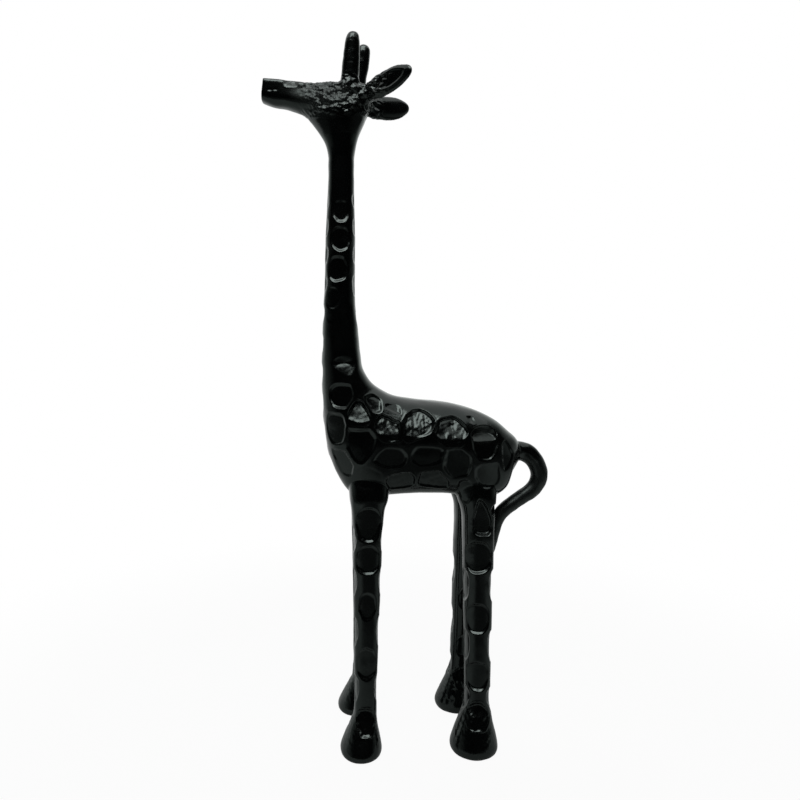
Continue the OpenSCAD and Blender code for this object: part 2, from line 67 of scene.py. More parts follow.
def loft(stations, sides, steps):
    """A closed skin through stations [x, z of one edge, x, z of the other, half width, y, squareness].

    The squareness of the second edge may follow as an eighth value, where it isn't that of the first.
    """
    s = along_curve(stations, steps)
    angle = 2 * np.pi * np.arange(sides) / sides
    power = 2 / np.where(np.cos(angle) > 0, s[:, 6:7], s[:, -1:])
    k = np.sign(np.cos(angle)) * np.abs(np.cos(angle)) ** power
    w = np.sign(np.sin(angle)) * np.abs(np.sin(angle)) ** power
    x = (s[:, 0:1] + s[:, 2:3]) / 2 + (s[:, 0:1] - s[:, 2:3]) / 2 * k
    y = s[:, 5:6] + s[:, 4:5] * w
    z = (s[:, 1:2] + s[:, 3:4]) / 2 + (s[:, 1:2] - s[:, 3:4]) / 2 * k
    points = np.stack([x, y, z], 2).reshape(-1, 3)
    n, rows = sides, len(s)
    faces = [(r * n + j, r * n + (j + 1) % n, (r + 1) * n + (j + 1) % n, (r + 1) * n + j)
             for r in range(rows - 1) for j in range(n)]
    faces += [tuple(range(n - 1, -1, -1)), tuple(range((rows - 1) * n, rows * n))]
    return points, faces


# The trunk's stations, from the rump to the neck: back edge x, z, belly edge x, z, half width.
trunk = [
    [157.6, 222.5, 157.0, 218.0, 1.5], [156.5, 226.0, 154.5, 214.0, 6.5],
    [153.1, 234.0, 148.0, 205.0, 13.4], [145.5, 240.8, 143.2, 193.5, 20.2],
    [134.5, 249.6, 133.5, 188.5, 24.9], [118.5, 257.0, 118.5, 188.2, 27.2],
    [98.6, 262.3, 98.6, 190.7, 27.7], [73.6, 264.9, 76.6, 191.2, 27.7],
    [56.5, 267.8, 54.6, 190.2, 27.2], [47.1, 272.2, 34.5, 188.4, 26.6],
    [39.7, 277.4, 21.7, 193.0, 25.5], [34.7, 284.6, 13.0, 206.0, 23.5],
    [31.9, 291.1, 7.1, 219.0, 21.6], [30.7, 299.7, 3.1, 238.0, 19.3],
    [29.7, 309.8, 1.3, 262.0, 16.8], [28.7, 322.0, 0.8, 292.0, 14.6],
]
trunk_squareness = 2.4
trunk = [s + [0, trunk_squareness, trunk_squareness] for s in trunk]
# The neck's: back x, front x, half width, height above its lower joint.
neck = [[27.1, neck_set_back, 12.0, 0], [26.5, 3.2, 11.3, 17.3], [26.7, 3.8, 11.0, 48.3],
        [26.3, 4.7, 10.4, 70.2], [25.8, 5.8, 9.8, 92.0], [25.9, 6.1, 9.6, 108.0]]
nape_squareness, throat_squareness = 2.6, 2.3
neck = [[back, neck_joint_z + up, front, neck_joint_z + up, half, 0, nape_squareness, throat_squareness]
        for back, front, half, up in neck]
# The head's: upper edge x, z, lower edge x, z, half width, all from the neck's upper joint, and how
# square it is above and below.
head = [[10.0, 0.0, -10.0, 0.0, 9.5, 2.4, 2.2], [11.9, 10.6, -12.1, 9.0, 10.3, 2.3, 2.1],
        [16.1, 21.8, -17.3, 18.2, 11.8, 2.4, 2.0], [21.0, 34.2, -23.2, 25.8, 12.9, 2.9, 2.0],
        [22.2, 47.0, -27.5, 30.5, 13.3, 3.8, 2.0], [10.9, 53.2, -31.6, 32.8, 12.2, 5.0, 2.1],
        [-7.1, 52.4, -37.1, 34.8, 10.2, 7.0, 2.3], [-24.2, 52.9, -44.1, 36.8, 8.6, 8.0, 2.4],
        [-42.1, 55.6, -52.3, 38.2, 7.6, 8.0, 2.6], [-58.0, 57.7, -59.6, 41.2, 7.0, 8.0, 2.8],
        [-59.0, 57.6, -60.9, 42.6, 6.6, 7.0, 3.0]]
head = [[head_x + b, head_joint_z + bz, head_x + f, head_joint_z + fz, half, 0, above, below]
        for b, bz, f, fz, half, above, below in head]


def turned(points):
    """Turns what is above the neck's upper joint to the statue's right, easing in over the throat."""
    p = points.copy()
    ease = np.clip((p[:, 2] - head_joint_z - throat_start) / throat_length, 0, 1)
    angle = -np.radians(head_turn) * ease * ease * (3 - 2 * ease)
    x, y = p[:, 0] - head_x, p[:, 1].copy()
    p[:, 0] = head_x + x * np.cos(angle) - y * np.sin(angle)
    p[:, 1] = x * np.sin(angle) + y * np.cos(angle)
    return p


body_points, body_faces = loft(trunk + neck + head, sides=96, steps=8)
rough = [(turned(body_points), body_faces)]

# ---- horns and ears ------------------------------------------------------------------------------
# Two blunt horns and two leaf ears, small solid castings on round pegs, welded into the crown.
# Each stands on a root, from the neck's upper joint. The right ear's is a little lower than the left's.
horn_roots = [([6.6, 9.0, 50.4], 4, -1), ([11.0, 9.0, 50.2], 10, 1)]
ear_roots = [([18.9, 9.7, 42.6], 9, -1), ([21.0, 9.7, 38.9], 14, 1)]
ear_spread = 36


def stalk(rows, squareness=2.1):
    """Stations of a straight form that stands on z = 0: height, front-to-back depth, width."""
    return [[depth / 2, z, -depth / 2, z, width / 2, 0, squareness, squareness]
            for z, depth, width in rows]


def tilted(points, root, spread, lean, side):
    """Stands a form on its root: leans it back from upright, spreads it outwards, to one side."""
    a, b = np.radians(lean), np.radians(spread)
    p = points @ np.array([[np.cos(a), 0, -np.sin(a)], [0, 1, 0], [np.sin(a), 0, np.cos(a)]])
    p = p @ np.array([[np.cos(b), np.sin(b), 0], [-np.sin(b), np.cos(b), 0], [0, 0, 1]])
    p = (p + root) * [1, side, 1]
    return turned(p + [head_x, 0, head_joint_z])


def on_horn(points, number):
    """Points of a horn's own form, where it stands on the head. Number 0 is the left one."""
    root, lean, side = horn_roots[number]
    return tilted(points, root, 0, lean, side)


def on_ear(points, number):
    """Points of an ear's own form, where it stands on the head. Number 0 is the left one."""
    root, lift, side = ear_roots[number]
    return tilted(points, root, ear_spread, 90 - lift, side)


horn_forms = [stalk([(-6, 15.0, 10.8), (4, 13.8, 9.8), (14, 13.0, 9.6), (25, 11.9, 9.5), (33, 10.0, 9.3),
                     (36.2, 6.8, 6.6), (37.0, 2.0, 2.0)]),
              stalk([(-6, 13.0, 10.4), (6, 12.3, 9.6), (14, 11.9, 9.4), (25, 11.9, 9.4), (33, 10.2, 9.2),
                     (36.0, 7.2, 6.8), (37.3, 2.2, 2.2)])]
ear_form = stalk([(-5, 10.5, 6.6), (2, 13.2, 6.2), (8.7, 16.6, 6.0), (19.8, 18.2, 5.5), (29.2, 16.2, 4.6),
                  (36.5, 10.4, 3.6), (39.9, 5.4, 2.2), (40.8, 1.2, 0.8)])
for place, forms in ((on_horn, horn_forms), (on_ear, [ear_form, ear_form])):
    for number, form in enumerate(forms):
        points, faces = loft(form, sides=32, steps=8)
        # The left one is a mirror image, so its faces turn round.
        rough.append((place(points, number), faces if number else [f[::-1] for f in faces]))

# ---- tail ----------------------------------------------------------------------------------------
# A slender casting on a round peg between the torso shells. It stands out from the rump, loops down
# and hangs behind the hocks. Each station is x, z and radius of its middle line.
tail_line = [(148.0, 222.8, 6.9), (157.5, 223.4, 7.6), (164.9, 220.4, 7.4), (170.8, 213.2, 6.8),
             (173.4, 203.3, 6.7), (169.3, 193.7, 6.3), (160.6, 187.1, 5.9), (151.4, 180.8, 5.7),
             (143.8, 174.5, 5.5), (139.7, 167.0, 5.0), (137.6, 157.7, 4.4), (135.9, 148.1, 3.7),
             (134.6, 142.2, 2.9), (134.3, 140.4, 1.2)]
tail_flatness, tail_squareness = 0.94, 2.0
tail_spine = along_curve(tail_line, 6)
way = np.gradient(tail_spine[:, :2], axis=0)
out = np.stack([way[:, 1], -way[:, 0]], 1) / np.linalg.norm(way, axis=1)[:, None] * tail_spine[:, 2:3]
tail_stations = np.hstack([tail_spine[:, :2] + out, tail_spine[:, :2] - out,
                           tail_spine[:, 2:3] * tail_flatness,
                           np.zeros((len(out), 1)), np.full((len(out), 2), tail_squareness)])
rough.append(loft(tail_stations, sides=28, steps=2))

# ---- legs ----------------------------------------------------------------------------------------
# Four solid legs with bell-shaped hooves, cast in one, screwed up against the torso. They splay
# outwards. Each has: side, x of its joint, x of its hoof, shank depth, hoof length, width and height.
leg_kinds = {"front_left": (-1, 35.6, 29.4, 16.6, 31, 36, 32),
             "front_right": (1, 38.6, 29.4, 16.6, 31, 36, 32),
             "rear_left": (-1, 120.8, 114.8, 18.8, 35.5, 35, 38),
             "rear_right": (1, 120.8, 114.8, 18.8, 35.5, 35, 38)}
leg_height = 176
leg_joint_z = 1000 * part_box("foot_pad_front_left")[0].z + leg_height
leg_root_y, leg_splay = 13.5, 17.5
leg_top_depth, leg_top_width = 24.4, 24
pad_height = 1
belly_middle = 80
# How far the hoof flares out from the shank, at shares of its height.
hoof_flare = [(0, 0.80), (0.02, 0.90), (0.06, 0.97), (0.11, 1.0), (0.20, 0.93), (0.36, 0.72),
              (0.55, 0.45), (0.75, 0.20), (1, 0.03)]


def leg_axis(side, z):
    """How far a leg's middle line is from the statue's middle plane, at a height."""
    return side * (leg_root_y + leg_splay * (leg_height - z) / leg_height)


def leg_stations(side, joint, hoof_x, shank, length, width, height):
    """A leg's stations from the sole to its root in the torso. The rear ones are rounder in front."""
    rows = []
    toe = joint - hoof_x
    shank_width = 0.95 * shank
    for up, flare in hoof_flare:
        rows.append((hoof_x + 0.6 * toe * up, pad_height + up * (height - pad_height),
                     shank + (length - shank) * flare,
                     shank_width + (width - shank_width) * flare, 2.1 + 0.6 * up))
    for t in (0.2, 0.45, 0.72, 1):
        k = t ** 1.35
        rows.append((joint - 0.4 * toe * (1 - t), height + t * (leg_height - height),
                     shank + (leg_top_depth - shank) * k,
                     shank_width + (leg_top_width - shank_width) * k, 3.1 + 0.5 * t))
    inward = 1 if joint < belly_middle else -1
    rows.append((joint + 1.0 * inward, 190, 29.5, 26.5, 3.3))
    rows.append((joint + 1.5 * inward, 206, 31.0, 24.0, 2.3))
    rows.append((joint + 1.5 * inward, 220, 26.0, 18.0, 2.2))
    stations = []
    for x, z, d, w, squareness in rows:
        y = leg_axis(side, min(z, 190)) - side * max(z - 190, 0) * 0.1
        fore = squareness if joint < belly_middle else min(squareness, 2.4)
        stations.append([x + d / 2, z, x - d / 2, z, w / 2, y, squareness, fore])
    return stations


for kind in leg_kinds.values():
    rough.append(loft(leg_stations(*kind), sides=48, steps=8))

# ---- welding and chasing -------------------------------------------------------------------------
# The castings are welded at their joints and the welds ground to soft fillets, so that the whole
# statue has one skin. Lengths turn into metres only when the pieces are made.


def one_skin(points, faces, size):
    """The outer skin of overlapping closed forms, as even squares of that size."""
    mesh = bpy.data.meshes.new("rough")
    mesh.from_pydata([tuple(p) for p in points], [], faces)
    holder = bpy.data.objects.new("rough", mesh)
    bpy.context.scene.collection.objects.link(holder)
    remesh = holder.modifiers.new("skin", "REMESH")
    remesh.mode = "VOXEL"
    remesh.voxel_size = size
    done = holder.evaluated_get(bpy.context.evaluated_depsgraph_get()).to_mesh()
    p = np.empty(len(done.vertices) * 3, np.float32)
    done.vertices.foreach_get("co", p)
    corners = np.empty(len(done.loops), np.int32)
    done.loops.foreach_get("vertex_index", corners)
    edges = np.empty(len(done.edges) * 2, np.int32)
    done.edges.foreach_get("vertices", edges)
    holder.to_mesh_clear()
    bpy.data.objects.remove(holder)
    bpy.data.meshes.remove(mesh)
    return p.reshape(-1, 3).astype(float), corners.reshape(-1, 4), edges.reshape(-1, 2)


def neighbour_mean(p, edges):
    """For each corner, the mean of the corners that its edges lead to."""
    count = np.bincount(edges.ravel(), minlength=len(p))[:, None]
    total = np.stack([np.bincount(edges[:, 0], p[edges[:, 1], i], len(p))
                      + np.bincount(edges[:, 1], p[edges[:, 0], i], len(p)) for i in range(3)], 1)
    return total / np.maximum(count, 1)


def skin_normals(p, quads):
    """Each corner's outward direction."""
    across = np.cross(p[quads[:, 2]] - p[quads[:, 0]], p[quads[:, 3]] - p[quads[:, 1]])
    n = np.stack([np.bincount(quads.ravel(), np.repeat(across[:, i], 4), len(p)) for i in range(3)], 1)
    return n / np.maximum(np.linalg.norm(n, axis=1), 1e-12)[:, None]


start, all_points, all_faces = 0, [], []
for points, faces in rough:
    all_points.append(points)
    all_faces += [tuple(start + i for i in f) for f in faces]
    start += len(points)
skin, quads, edges = one_skin(np.vstack(all_points), all_faces, size=0.9)

# Where the welds are ground to fillets: middle, reach and number of passes.
welds = [([35.6, -15, 188], 17, 46), ([38.6, 15, 188], 17, 46), ([120.8, -15, 188], 18, 28),
         ([120.8, 15, 188], 18, 28), ([155, 0, 223], 15, 24)]
for root, lean, side in horn_roots:
    foot = turned(np.array([[head_x + root[0], side * root[1], head_joint_z + 55.0]]))[0]
    welds.append((list(foot), 9, 12))
for number in (0, 1):
    foot = on_ear(np.array([[0, 0, 3.0]]), number)[0]
    welds.append((list(foot), 9, 10))
for middle, reach, passes in welds:
    far = np.linalg.norm(skin - middle, axis=1) / reach
    weight = np.clip(1.4 - 1.4 * far, 0, 1)[:, None]
    near = np.nonzero((weight[edges[:, 0], 0] > 0) | (weight[edges[:, 1], 0] > 0))[0]
    used, local = np.unique(edges[near], return_inverse=True)
    local = local.reshape(-1, 2)
    patch = skin[used]
    for i in range(passes):
        patch += 0.5 * weight[used] * (neighbour_mean(patch, local) - patch)
    skin[used] = patch
skin, quads, edges = one_skin(skin, [tuple(q) for q in quads.tolist()], size=0.6)
# The steps between the squares are smoothed in and out again, so that nothing shrinks.
for i in range(6):
    skin += 0.5 * (neighbour_mean(skin, edges) - skin)
    skin -= 0.52 * (neighbour_mean(skin, edges) - skin)
normals = skin_normals(skin, quads)

# ---- gouged spots --------------------------------------------------------------------------------
# The coat's spots are cut into the skin with a round-nosed gouge: pockets 1 to 2 mm deep with steep
# rims and narrow lands between them. Each has: corners, upward tip of the floor in degrees, how far
# it is dished, how rough the gouge left it, its depth as a share, and how wide the rim slopes.
# On a flank and the side of the neck the corners are x and height.
flank = [
    # Down the chest.
    ([(5.8, 274), (11.5, 278), (23, 277), (26, 268.5), (19.5, 257.8), (9, 259), (6, 265.5)],
     0, 0.9, 0.15, 1.0, 1.8),
    ([(5.6, 256), (15.6, 255.5), (19, 250), (19, 238), (16, 231.5), (7.8, 231), (4, 241), (3.6, 249)],
     0, 0.3, 0, 1.0, 1.8),
    ([(7.5, 228.5), (18, 228), (25.5, 217), (25.5, 210.6), (23, 206.5), (16, 207.5), (10.5, 218)],
     1, 0.0, 0.15, 1.0, 1.8),
    # Along the back, from the shoulder to the rump.
    ([(26, 265.5), (32, 264), (38, 255.5), (37.3, 247), (33.5, 243.8), (21.5, 244.5), (18.5, 251),
      (19.3, 257.5)], 16, 0.8, 0.7, 1.0, 1.8),
    ([(33, 268), (39.5, 270), (46.5, 265), (46.3, 257), (43.5, 255), (38, 255.5), (33.5, 262)],
     0, 0.1, 0.5, 1.0, 1.8),
    ([(44.5, 255.5), (51.5, 253.3), (59.5, 248), (61, 238), (59.3, 234.5), (46, 234.5), (38, 242),
      (40, 250)], 13, 0.7, 0.9, 1.0, 1.8),
    ([(60, 250), (66, 256.5), (73.5, 258.6), (82.3, 255), (86.5, 248), (85, 243.5), (81.3, 239.3),
      (63.9, 233.9), (60, 237.5)], 6, 0.7, 1.0, 1.0, 1.8),
    ([(88.3, 251.5), (99.3, 253.5), (105, 251), (111.2, 242), (109.2, 236.5), (105, 230.8),
      (92.5, 229.8), (84, 240), (84.5, 246)], 11, 0.8, 1.0, 1.0, 1.8),
    ([(109, 253), (115, 253), (117.6, 247.8), (115.6, 245.8), (111.5, 247.5)], 0, 0.1, 0.3, 0.7, 1.8),
    ([(115.5, 244), (123, 244), (133.3, 238.5), (134.6, 234.3), (132.3, 225), (128.3, 219.7),
      (118.3, 219.2), (112.7, 227.5), (112, 238)], 0, 0.2, 0.1, 1.0, 1.8),
    # Along the middle of the flank.
    ([(19, 244.2), (36.5, 244.2), (46, 235.7), (39.8, 227.5), (38.5, 221), (33.5, 216.2), (25, 218),
      (18.4, 228.5), (18.4, 238)], 3, 0.0, 0.0, 1.0, 1.8),
    ([(48.3, 230.8), (59.3, 230.2), (64.5, 225.5), (63.8, 218.3), (60.5, 214.3), (48, 213.5),
      (37.5, 219.3), (40.6, 224.5)], 0, 0.0, 0.0, 1.0, 1.8),
    ([(67, 227), (71.5, 231), (88.7, 231), (92, 228), (90.8, 219.5), (85, 215.5), (72, 215),
      (66.3, 220.5)], 3, 0.0, 0.0, 1.0, 1.8),
    ([(93.6, 229), (105, 229.5), (113, 223.2), (113, 213.5), (110.4, 207.2), (98, 205.2), (91, 213.6),
      (91, 223)], 0, 0.0, 0.0, 1.0, 1.8),
    ([(118, 216.8), (134, 218.8), (136, 203.5), (132, 198.5), (121.3, 197.4), (116.2, 204.2),
      (114.3, 212.3)], 0, 0.0, 0.0, 0.7, 1.8),
    ([(139.9, 236.5), (144, 231), (147.5, 224.8), (146.4, 218.6), (142, 212), (138, 209.3),
      (136, 219), (136, 231.5)], 0, 0.0, 0.0, 1.0, 1.8),
    # Along the belly and over the hind leg.
    ([(26, 214.7), (36.5, 216), (46, 211.3), (47.2, 204.4), (43, 198), (30.5, 197.2), (25, 201.5),
      (24.2, 209)], 0, 0.0, 0.0, 0.2, 1.8),
    ([(49.3, 208.6), (66, 211.7), (70.4, 208), (71.8, 201.6), (67.8, 198.4), (53, 196.7),
      (47.8, 202)], 0, 0.0, 0.8, 1.3, 1.2),
    ([(73.8, 211), (87.5, 212.9), (97.6, 203), (97, 197.5), (79.4, 198.5), (71.8, 201.4),
      (72.4, 206.2)], 0, 0.0, 1.1, 1.5, 1.2),
    ([(103.6, 205), (110.3, 205.8), (116, 201), (115, 191.5), (110.6, 185), (106.5, 187.6),
      (103.4, 193.8)], 0, 0.0, 0, 0.6, 1.8),
    ([(119.1, 193), (125, 186), (129.3, 178.6), (130.3, 168), (127, 161.6), (116, 162.2),
      (113.7, 171.3), (114.8, 181.6)], 0, 0.3, 0.0, 0.7, 1.8),
    # A small one high behind the shoulder.
    ([(47.5, 262), (54, 263.5), (60.5, 260.5), (59.5, 253.5), (53, 255.5), (48, 257.5)],
     -8, 0.0, 0.3, 0.8, 1.8),
    # Down the neck.
    ([(7.4, 409), (10, 415), (20, 415), (23, 409), (23, 404), (19, 398.2), (14, 397.8), (8.5, 402)],
     0, 0.5, 0.4, 0.65, 2.0),
    ([(6.4, 388), (10, 395.5), (20, 395.5), (23.6, 388), (23, 381), (19, 376.3), (13, 375.8),
      (8, 380)], 0, 0.6, 0.4, 0.7, 2.0),
    ([(4.6, 367), (8, 373.5), (18, 373.5), (21.5, 367), (21.5, 359), (18, 354), (10, 353),
      (5.6, 356)], 0, 0.6, 0.4, 0.7, 2.0),
    ([(3, 345), (5.5, 350.5), (12, 350.5), (16, 345), (16, 338), (12, 333), (6, 333), (3, 337)],
     0, 0.3, 0.0, 0.35, 2.0),
    ([(3.8, 328), (6, 330.5), (10, 330.5), (12, 327), (11, 323), (8, 321.5), (5, 322.5)],
     0, 0.1, 0.0, 0.15, 2.0),
]
# On the legs they are windows: upright spots with a round head and a round or pointed foot.


def window(middle, height, width, foot):
    """Corners of an upright spot with a round head. Its foot is a share of its width, small for a point."""
    brow = [(-0.5, 0.22), (-0.36, 0.42), (-0.15, 0.5), (0.15, 0.5), (0.36, 0.42), (0.5, 0.22)]
    round_foot = [(0.5, -0.2), (0.42, -0.36), (foot / 2, -0.5), (-foot / 2, -0.5), (-0.42, -0.36),
                  (-0.5, -0.2)]
    point_foot = [(0.5, -0.16), (foot / 2, -0.5), (-foot / 2, -0.5), (-0.5, -0.16)]
    shape = brow + (round_foot if foot > 0.25 else point_foot)
    return [(middle[0] + a * width, middle[1] + b * height) for a, b in shape]


def across_and_facing(turn, side):
    """The way across a spot, and the way it faces, when it is turned to the rear by so many radians."""
    across = np.array([np.cos(turn), -side * np.sin(turn), 0])
    return across, np.array([np.sin(turn), side * np.cos(turn), 0])


# Spots on a leg's outer and inner face: height of the middle, height, width, foot, dish, roughness, tip.
leg_faces = {"front": [(171.5, 27, 21.5, 0.35, 0.3, 0, 0), (145.5, 23, 20, 0.3, 0.2, 0, 0),
                       (110.5, 22, 15, 0.2, 0.1, 0, 0), (68, 25, 17, 0.3, 0.1, 0, 0),
                       (27, 20, 15, 0.6, -0.1, 1.2, 6)],
             "rear": [(146, 25, 21.5, 0.3, 0.4, 0, 0), (100.5, 24, 19, 0.3, 0.1, 0, 0),
                      (58, 23, 18, 0.3, 0.1, 0, 0), (30, 20, 19, 0.6, -0.8, 1.6, 16)]}
# Spots on its front and rear face: height of the middle, height and width.
leg_edges = {"front": [(160, 22, 14), (128, 22, 13), (91, 24, 12.5), (49, 22, 12)],
             "rear": [(124, 26, 14), (79, 25, 13), (39, 20, 13)]}
# How far a leg's faces are turned from square, outer, inner, front and rear, in degrees to the rear.
leg_turns = {"front": (0, 180, -70, 72), "rear": (-12, 168, -80, 62)}
leg_depth, leg_slope = 0.8, 1.7
# Spots down the throat, the nape, the chest and the rump: way round from the side, x, height, height
# and width. Those nearer than 90 degrees are on both sides.
middle_line = [(-60, 4, 416, 13, 9), (-60, 5, 396, 15, 9), (-60, 6, 375, 15, 9), (-62, 5, 353, 14, 9),
               (60, 23, 416, 13, 9), (60, 24, 396, 15, 9), (58, 24, 375, 15, 9), (54, 24, 352, 18, 10),
               (-90, 1, 331, 15, 12), (-90, 1, 308, 16, 13), (-90, 1, 285, 17, 14), (-90, 2, 262, 18, 14),
               (-90, 5, 238, 20, 14), (-90, 12, 214, 18, 14), (90, 27, 326, 15, 12), (90, 152, 208, 16, 16)]
# The scoop of an ear, in the ear's own form.
ear_leaf = np.array([(-2, 3, 7), (-5.5, 3, 16), (-6.2, 3, 26), (-2, 3, 35.5), (1, 3, 35.5), (5.2, 3, 28),
                     (5.8, 3, 18), (2, 3, 7.5)], float)

spots = []
for side in (-1, 1):
    for corners, *cut in flank:
        spots.append(([(x, side * 14, z) for x, z in corners], (0, side, 0), *cut))
    for name, (leg_side, joint, hoof_x, shank, length, width, height) in leg_kinds.items():
        if leg_side != side:
            continue
        kind = name.split("_")[0]
        outer, inner, fore, aft = np.radians(leg_turns[kind])
        for turn, face_spots in ((outer, leg_faces[kind]), (inner, leg_faces[kind]),
                                 (fore, leg_edges[kind]), (aft, leg_edges[kind])):
            across, facing = across_and_facing(turn, side)
            for z, h, w, *rest in face_spots:
                foot, dish, roughness, tip = rest or (0.4, 0.1, 0, 0)
                down = np.clip(1 - (z - height) / (leg_height - height), 0, 1.1)
                x = joint - 0.4 * (joint - hoof_x) * down
                root = np.array([x, leg_axis(side, z), 0]) + 5 * facing
                corners = [root + a * across + [0, 0, b] for a, b in window((0, z), h, w, foot)]
                spots.append((corners, facing, tip, dish, roughness, leg_depth, leg_slope))
    for turn, x, z, h, w in middle_line:
        on_middle = abs(turn) == 90
        if on_middle and side > 0:
            continue
        across, facing = across_and_facing(np.radians(turn), side)
        root = np.array([x, 0 if on_middle else side * 3, 0])
        corners = [root + a * across + [0, 0, b] for a, b in window((0, z), h, w, 0.5)]
        spots.append((corners, facing, 0, 0.1, 0, 0.8, 2.4))
    ear = 0 if side < 0 else 1
    base, ahead = on_ear(np.array([[0, 0.0, 0], [0, 1.0, 0]]), ear)
    facing = ahead - base
    spots.append((list(on_ear(ear_leaf, ear) - 3 * facing), facing, 0, 0.35, 0.6, 0.55, 1.3))


def on_skin(point, facing, among):
    """The skin's corner that lies ahead of a point, looking along a facing, within 16 mm."""
    off = skin[among] - point
    away = off @ facing
    aside = np.abs(off - away[:, None] * facing).sum(1)
    return among[np.argmin(aside + 50 * (normals[among] @ facing < 0.05) + 50 * (np.abs(away - 2) > 16))]


# Each corner of the skin belongs to the spot whose outline it is deepest in. The lands between
# spots are as wide as this.
land = 1.5
reach_1 = np.full(len(skin), 99.0)
reach_2 = np.full(len(skin), 99.0)
owner = np.full(len(skin), -1)
beds = []
for number, (corners, facing, *_) in enumerate(spots):
    facing = np.array(facing, float)
    corners = np.array(corners, float)
    among = np.nonzero(np.abs(skin - corners.mean(0)).max(1) < 38)[0]
    ring = np.array([skin[on_skin(corner, facing, among)] for corner in corners])
    middle = skin[on_skin(ring.mean(0) - 3 * facing, facing, among)]
    normal = normals[among][np.linalg.norm(skin[among] - middle, axis=1) < 5.0].mean(0)
    normal /= np.linalg.norm(normal)
    u = np.cross([0, 0, 1], normal)
    u /= np.linalg.norm(u)
    v = np.cross(normal, u)
    flat = np.stack([(ring - middle) @ u, (ring - middle) @ v], 1)
    size = np.linalg.norm(flat, axis=1).max()
    beds.append((middle, normal, u, v, flat))
    close = np.linalg.norm(skin[among] - middle, axis=1) < 1.5 * size + 3
    near = among[close & (normals[among] @ normal > 0.2)]
    rel = skin[near] - middle
    here = np.stack([rel @ u, rel @ v], 1)
    turn = np.sign(np.sum(flat[:, 0] * np.roll(flat[:, 1], -1) - np.roll(flat[:, 0], -1) * flat[:, 1]))
    way = np.roll(flat, -1, 0) - flat
    way /= np.linalg.norm(way, axis=1)[:, None] + 1e-9
    out = turn * np.stack([way[:, 1], -way[:, 0]], 1)
    over = here @ out.T - (flat * out).sum(1)
    signed = np.log(np.exp(np.clip(1.1 * over, -60, 60)).sum(1)) / 1.1
    first = signed < reach_1[near]
    reach_2[near] = np.where(first, reach_1[near], np.minimum(reach_2[near], signed))
    reach_1[near] = np.where(first, signed, reach_1[near])
    owner[near[first]] = number


def ripple(p, sizes, seed, waves=40):
    """A soft random wave over the skin, with those lengths from crest to crest along x, y and z."""
    rng = np.random.default_rng(seed)
    k = rng.normal(size=(waves, 3))
    k /= np.linalg.norm(k, axis=1)[:, None]
    k *= 2 * np.pi / np.array(sizes) * rng.uniform(0.65, 1.5, (waves, 1))
    phase = rng.uniform(0, 2 * np.pi, waves)
    return np.sin(p @ k.T + phase).sum(1) / np.sqrt(waves)


# The gouge: a rim that slopes down to the floor, a burr along it and streaks on the rough floors.
roughness, slope = np.array([(spot[4], spot[6]) for spot in spots] + [(0, 1)])[owner].T
inside = np.minimum(-reach_1, (reach_2 - reach_1) / 2 - land / 2) + 0.2 * ripple(skin, (7, 7, 7), 9)
rim = np.clip(inside / slope, 0, 1)
rim = 0.65 * rim + 0.35 * rim * rim * (3 - 2 * rim)
burr = 0.24 * np.clip(roughness, 0, 1) * np.exp(-((inside + 0.35) / 0.4) ** 2)
streaks = 0.5 * ripple(skin, (2.4, 2.4, 5.0), 3) + 1.5 * ripple(skin, (6.5, 6.5, 8.0), 8)
gouged = np.zeros(len(skin))
for number, (middle, normal, u, v, flat) in enumerate(beds):
    own = np.nonzero((owner == number) & (inside > 0))[0]
    if not len(own):
        continue
    tip, dish, rough_cut, depth = spots[number][2:6]
    rel = skin[own] - middle
    level = rel @ normal
    span = np.abs(flat).max(0)
    around = (rel @ u / span[0]) ** 2 + (rel @ v / span[1]) ** 2
    edge = inside[own] < 0.8
    fall = -level[edge].mean() if edge.any() else 0
    floor = -0.5 * fall - 1.0 + 0.5 * level - dish * (1 - around) - np.tan(np.radians(tip)) * (rel @ v)
    deep = depth * np.maximum(level - floor, 0.3)
    skin[own] -= normal * (deep * rim[own])[:, None]
    gouged[own] = rough_cut * rim[own]

# Flats that the grinder left on the muzzle, the rump, the neck's foot and behind the flank: x,
# height, way forwards and upwards in degrees, half length, half height, depth, and how fast each ends.
flats = [(-22, 502.5, 6, 24, 6.0, 7.5, 1.1, 2.2), (-7.5, 501.5, 7, 24, 5.5, 7.5, 1.3, 2.2),
         (-34, 497.5, 7, 16, 2.2, 1.0, 0.25, 2.2), (-38, 497.5, 7, 16, 2.2, 1.0, 0.25, 2.2),
         (122.5, 238.0, -8, 45, 10.5, 7.5, 2.2, 6.0), (18, 288.5, 3, 20, 12.0, 9.0, 1.1, 2.2),
         (133.5, 181, -20, 30, 5.0, 5.0, 0.8, 3.0)]
for x, z, ahead, above, long, tall, depth, ending in flats:
    for side in (-1, 1):
        level = np.array([0.0, side, 0.0])
        among = np.nonzero((np.abs(skin - [x, side * 14, z]).max(1) < 22) & (skin[:, 1] * side > 1))[0]
        middle = skin[on_skin(np.array([x, side * 14.0, z]), level, among)]
        ahead_by, above_by = np.radians(ahead), np.radians(above)
        facing = np.array([-np.sin(ahead_by) * np.cos(above_by), side * np.cos(ahead_by) * np.cos(above_by),
                           np.sin(above_by)])
        rel = skin[among] - middle
        near = np.clip(ending - ending * np.hypot(rel[:, 0] / long, rel[:, 2] / tall), 0, 1)
        cut = np.maximum(rel @ facing + depth, 0) * near
        skin[among] -= cut[:, None] * facing
        gouged[among] += 0.45 * near * (cut > 0)
skin += 0.35 * (neighbour_mean(skin, edges) - skin)
normals = skin_normals(skin, quads)


def fade(value, start, length):
    """0 up to the start and 1 from that length past it. A negative length runs the other way."""
    return np.clip((value - start) / length, 0, 1)


x, y, z = skin.T
